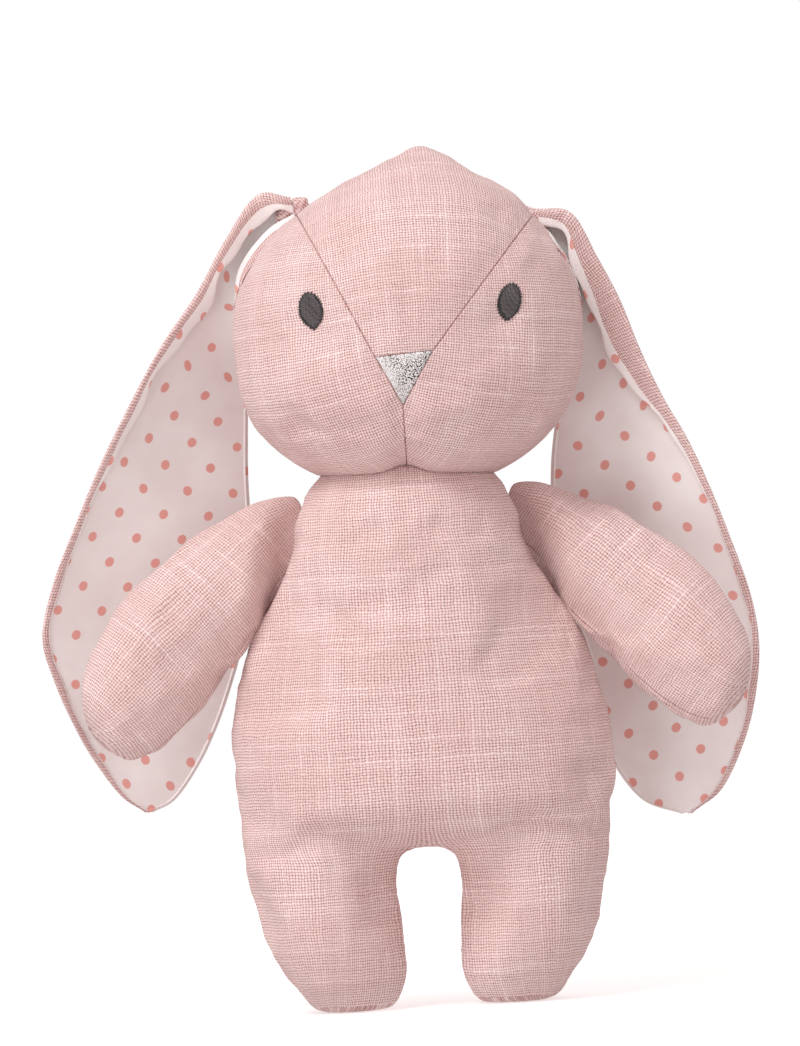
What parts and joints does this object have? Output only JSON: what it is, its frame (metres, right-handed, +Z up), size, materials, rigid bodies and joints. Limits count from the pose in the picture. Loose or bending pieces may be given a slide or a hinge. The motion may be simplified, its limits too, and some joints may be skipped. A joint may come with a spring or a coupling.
{
  "type": "stuffed bunny rabbit",
  "caption": "Sewn linen rabbit soft toy with a round head, long drooping lined ears, bean-shaped arms and short stubby legs; stands on flat soles.",
  "frame": {"origin": "on the surface that the toy stands on, at the bottom centre of its box, between the two soles", "axes": "+Z up along the toy's height; the face looks along -Y; +X is the toy's own left"},
  "size_m": [0.2063, 0.0862, 0.25],
  "materials": {
    "linen": "plain woven pink linen with slubs, matt",
    "nose_cloth": "silvery lame cloth with dark flecks",
    "eye_thread": "charcoal satin-stitch embroidery",
    "ear_cotton": "off-white cotton with small coral dots",
    "sewing_thread": "dusky pink sewing thread",
    "stuffing": "white polyester fibre filling"
  },
  "bodies": {
    "trunk": {"trunk_front": "linen", "left_trunk_back": "linen", "right_trunk_back": "linen", "trunk_stuffing": "stuffing", "closing_stitches": "sewing_thread"},
    "neck": {"neck_stitches": "sewing_thread"},
    "head": {"forehead_gusset": "linen", "nose_patch": "nose_cloth", "left_cheek": "linen", "right_cheek": "linen", "left_head_back": "linen", "right_head_back": "linen", "head_stuffing": "stuffing", "left_eye": "eye_thread", "right_eye": "eye_thread"},
    "left_shoulder": {"left_arm_seam": "linen"},
    "left_arm": {"left_arm_front": "linen", "left_arm_back": "linen", "left_arm_stuffing": "stuffing"},
    "left_leg": {"left_leg_front": "linen", "left_leg_back": "linen", "left_leg_stuffing": "stuffing"},
    "left_ear_base": {"left_ear_fold": "linen"},
    "left_ear": {"left_ear_outer": "linen", "left_ear_lining": "ear_cotton"},
    "right_shoulder": {"right_arm_seam": "linen"},
    "right_arm": {"right_arm_front": "linen", "right_arm_back": "linen", "right_arm_stuffing": "stuffing"},
    "right_leg": {"right_leg_front": "linen", "right_leg_back": "linen", "right_leg_stuffing": "stuffing"},
    "right_ear_base": {"right_ear_fold": "linen"},
    "right_ear": {"right_ear_outer": "linen", "right_ear_lining": "ear_cotton"}
  },
  "joints": [
    {"name": "head_turn", "type": "hinge", "parent": "trunk", "child": "neck", "pos_m": [0, 0, 0.13], "axis": [0, 0, 1], "range_deg": [-9, 9], "stiffness_Nm_per_rad": 0.15},
    {"name": "head_nod", "type": "hinge", "parent": "neck", "child": "head", "pos_m": [0, 0, 0.13], "axis": [-1, 0, 0], "range_deg": [-20, 12], "stiffness_Nm_per_rad": 0.3},
    {"name": "left_arm_swing", "type": "hinge", "parent": "trunk", "child": "left_shoulder", "pos_m": [0.0369, 0, 0.13525], "axis": [0.3048, 0, -0.9524], "range_deg": [-10, 45], "stiffness_Nm_per_rad": 0.02},
    {"name": "left_arm_raise", "type": "hinge", "parent": "left_shoulder", "child": "left_arm", "pos_m": [0.0515, -0.002, 0.1275], "axis": [0, -1, 0], "range_deg": [0, 60], "stiffness_Nm_per_rad": 0.02},
    {"name": "left_ear_swing", "type": "hinge", "parent": "head", "child": "left_ear_base", "pos_m": [0.046, 0.008, 0.232], "axis": [1, 0, 0], "range_deg": [0, 60]},
    {"name": "left_ear_lift", "type": "hinge", "parent": "left_ear_base", "child": "left_ear", "pos_m": [0.053, 0.008, 0.2235], "axis": [0, -1, 0], "range_deg": [0, 110]},
    {"name": "left_leg_swing", "type": "hinge", "parent": "trunk", "child": "left_leg", "pos_m": [0.031, 0, 0.052], "axis": [-1, 0, 0], "range_deg": [-20, 30], "stiffness_Nm_per_rad": 0.4},
    {"name": "right_arm_swing", "type": "hinge", "parent": "trunk", "child": "right_shoulder", "pos_m": [-0.0369, 0, 0.13525], "axis": [0.3048, 0, 0.9524], "range_deg": [-10, 45], "stiffness_Nm_per_rad": 0.02},
    {"name": "right_arm_raise", "type": "hinge", "parent": "right_shoulder", "child": "right_arm", "pos_m": [-0.0515, -0.002, 0.1275], "axis": [0, 1, 0], "range_deg": [0, 60], "stiffness_Nm_per_rad": 0.02},
    {"name": "right_ear_swing", "type": "hinge", "parent": "head", "child": "right_ear_base", "pos_m": [-0.0315, 0.008, 0.238], "axis": [1, 0, 0], "range_deg": [0, 60]},
    {"name": "right_ear_lift", "type": "hinge", "parent": "right_ear_base", "child": "right_ear", "pos_m": [-0.0395, 0.008, 0.2305], "axis": [0, 1, 0], "range_deg": [0, 110]},
    {"name": "right_leg_swing", "type": "hinge", "parent": "trunk", "child": "right_leg", "pos_m": [-0.031, 0, 0.052], "axis": [-1, 0, 0], "range_deg": [-20, 30], "stiffness_Nm_per_rad": 0.4}
  ]
}
